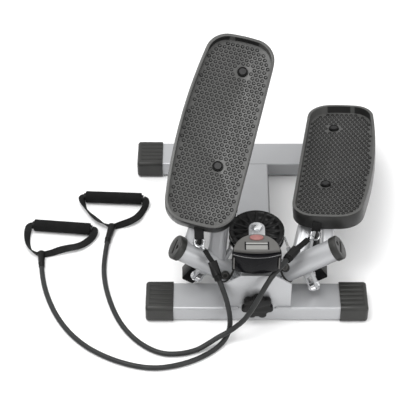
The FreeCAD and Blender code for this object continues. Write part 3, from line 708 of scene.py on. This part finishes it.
# ---- handles ------------------------------------------------------------------------------
def make_grip(side, low, high):
    """Foam sleeve with rounded ends."""
    low, high = Vector(low), Vector(high)
    length = (high - low).length
    bpy.ops.object.select_all(action="DESELECT")
    bpy.ops.mesh.primitive_cylinder_add(vertices=48, radius=0.0109, depth=length)
    grip = bpy.context.object
    grip.name = side + "_foam_grip"
    pick_faces(grip, lambda face: abs(face.normal.z) > 0.9)
    bpy.ops.mesh.inset(thickness=0.0036, use_individual=True)
    bpy.ops.transform.resize(value=(1, 1, 0.985))
    done()
    pick_faces(grip, lambda face: abs(face.normal.z) < 0.1)
    bpy.ops.mesh.subdivide(number_cuts=10)
    done()
    apply(grip, "BEVEL", width=0.0022, segments=4, limit_method="ANGLE", angle_limit=math.radians(60))
    settle(grip, placed((low + high) / 2, high - low))
    smooth(grip, 50)
    paint(grip, "foam")
    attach(grip, "frame")
    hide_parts(side + "_handle_grip")


def make_strap(side, branches):
    """The strap's two branches. Each point is X, Y and Z in millimetres, then the tilt in degrees."""
    for k, branch in enumerate(branches):
        points = [(x / 1000, y / 1000, z / 1000) for x, y, z, tilt in branch]
        tilts = [math.radians(tilt) for x, y, z, tilt in branch]
        strip = ribbon("%s_handle_webbing_%d" % (side, k + 1), points, tilts, 0.013, 0.0022)
        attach(strip, "frame")
        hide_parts(side + "_handle_strap")


make_grip("left", (-.402, .010, .008), (-.298, 0, .008))
make_grip("right", (-.312, .084, .008), (-.207, .079, .008))
make_strap("left", [
    [(-405.5, 10.3, 8, 90), (-411, 9.8, 8, 90), (-413, -2, 6, 70), (-413, -22, 5, 50), (-408, -44, 5, 30),
     (-396, -58, 5, 20), (-387, -60, 4, 10)],
    [(-294.5, -.3, 8, 90), (-290, -.8, 8, 90), (-291, -8, 6, 70), (-295, -21, 5, 40), (-314, -40, 5, 80),
     (-346, -48, 6, 60), (-368, -59, 5, 20), (-381, -60, 4, 10)]])
make_strap("right", [
    [(-315.5, 84.2, 8, 90), (-319.5, 84, 8, 90), (-318, 72, 6, 60), (-311, 55, 5, 20), (-292, 31, 5, 60),
     (-276, 16, 5, 40), (-262, 10, 4, 10)],
    [(-203.5, 78.8, 8, 90), (-199, 78, 8, 90), (-199, 66, 6, 60), (-204, 50, 5, 30), (-214, 31, 6, 80),
     (-234, 18, 5, 50), (-256, 10, 4, 10)]])


# ---- floor, light and camera --------------------------------------------------------------
def make_floor():
    bpy.ops.object.select_all(action="DESELECT")
    bpy.ops.mesh.primitive_plane_add(size=40, location=(0, 0, -0.0031))
    floor = bpy.context.object
    floor.name = "studio_floor"
    made, tree, shader = node_tree("studio_floor")
    place = object_place(tree)
    tree.links.new(ramp(tree, noise(tree, place, 3.0), (.90, .90, .90), (.93, .93, .93)),
                   shader.inputs["Base Color"])
    shader.inputs["Roughness"].default_value = 0.9
    floor.data.materials.append(made)


def lamp(name, place, aim, size, power):
    light = bpy.data.lights.new(name, "AREA")
    light.shape = "DISK"
    light.size = size
    light.energy = power
    obj = bpy.data.objects.new(name, light)
    bpy.context.scene.collection.objects.link(obj)
    obj.location = place
    obj.rotation_euler = (Vector(aim) - Vector(place)).to_track_quat("-Z", "Y").to_euler()


make_floor()
world = bpy.data.worlds.new("studio")
bpy.context.scene.world = world
world.use_nodes = True
sky = world.node_tree
background = sky.nodes["Background"]
background.inputs["Strength"].default_value = 1.0
heading = sky.nodes.new("ShaderNodeSeparateXYZ")
sky.links.new(sky.nodes.new("ShaderNodeTexCoord").outputs["Generated"], heading.inputs["Vector"])
shades = sky.nodes.new("ShaderNodeValToRGB")
shades.color_ramp.elements[0].position = 0.02
shades.color_ramp.elements[0].color = (.42, .42, .43, 1)
shades.color_ramp.elements[1].position = 0.75
shades.color_ramp.elements[1].color = (1.25, 1.25, 1.25, 1)
sky.links.new(heading.outputs["Z"], shades.inputs["Fac"])
sky.links.new(shades.outputs["Color"], background.inputs["Color"])
lamp("key", (-0.7, -0.3, 2.4), (0, 0, 0.05), 1.3, 30)
lamp("fill", (1.0, -1.8, 0.9), (0, 0, 0.05), 0.7, 8)
lamp("back", (-1.9, 1.5, 1.6), (0, 0, 0.05), 1.2, 6)
bpy.context.scene.view_settings.view_transform = "Standard"

eye = bpy.data.cameras.new("camera")
eye.sensor_width = 36.0
eye.lens = 127.76
eye.clip_end = 50
camera = bpy.data.objects.new("camera", eye)
bpy.context.scene.collection.objects.link(camera)
camera.location = (-0.09346, -1.8030, 1.8745)
camera.rotation_euler = Vector((-0.00187, 0.70944, -0.70476)).to_track_quat("-Z", "Y").to_euler()
bpy.context.scene.camera = camera
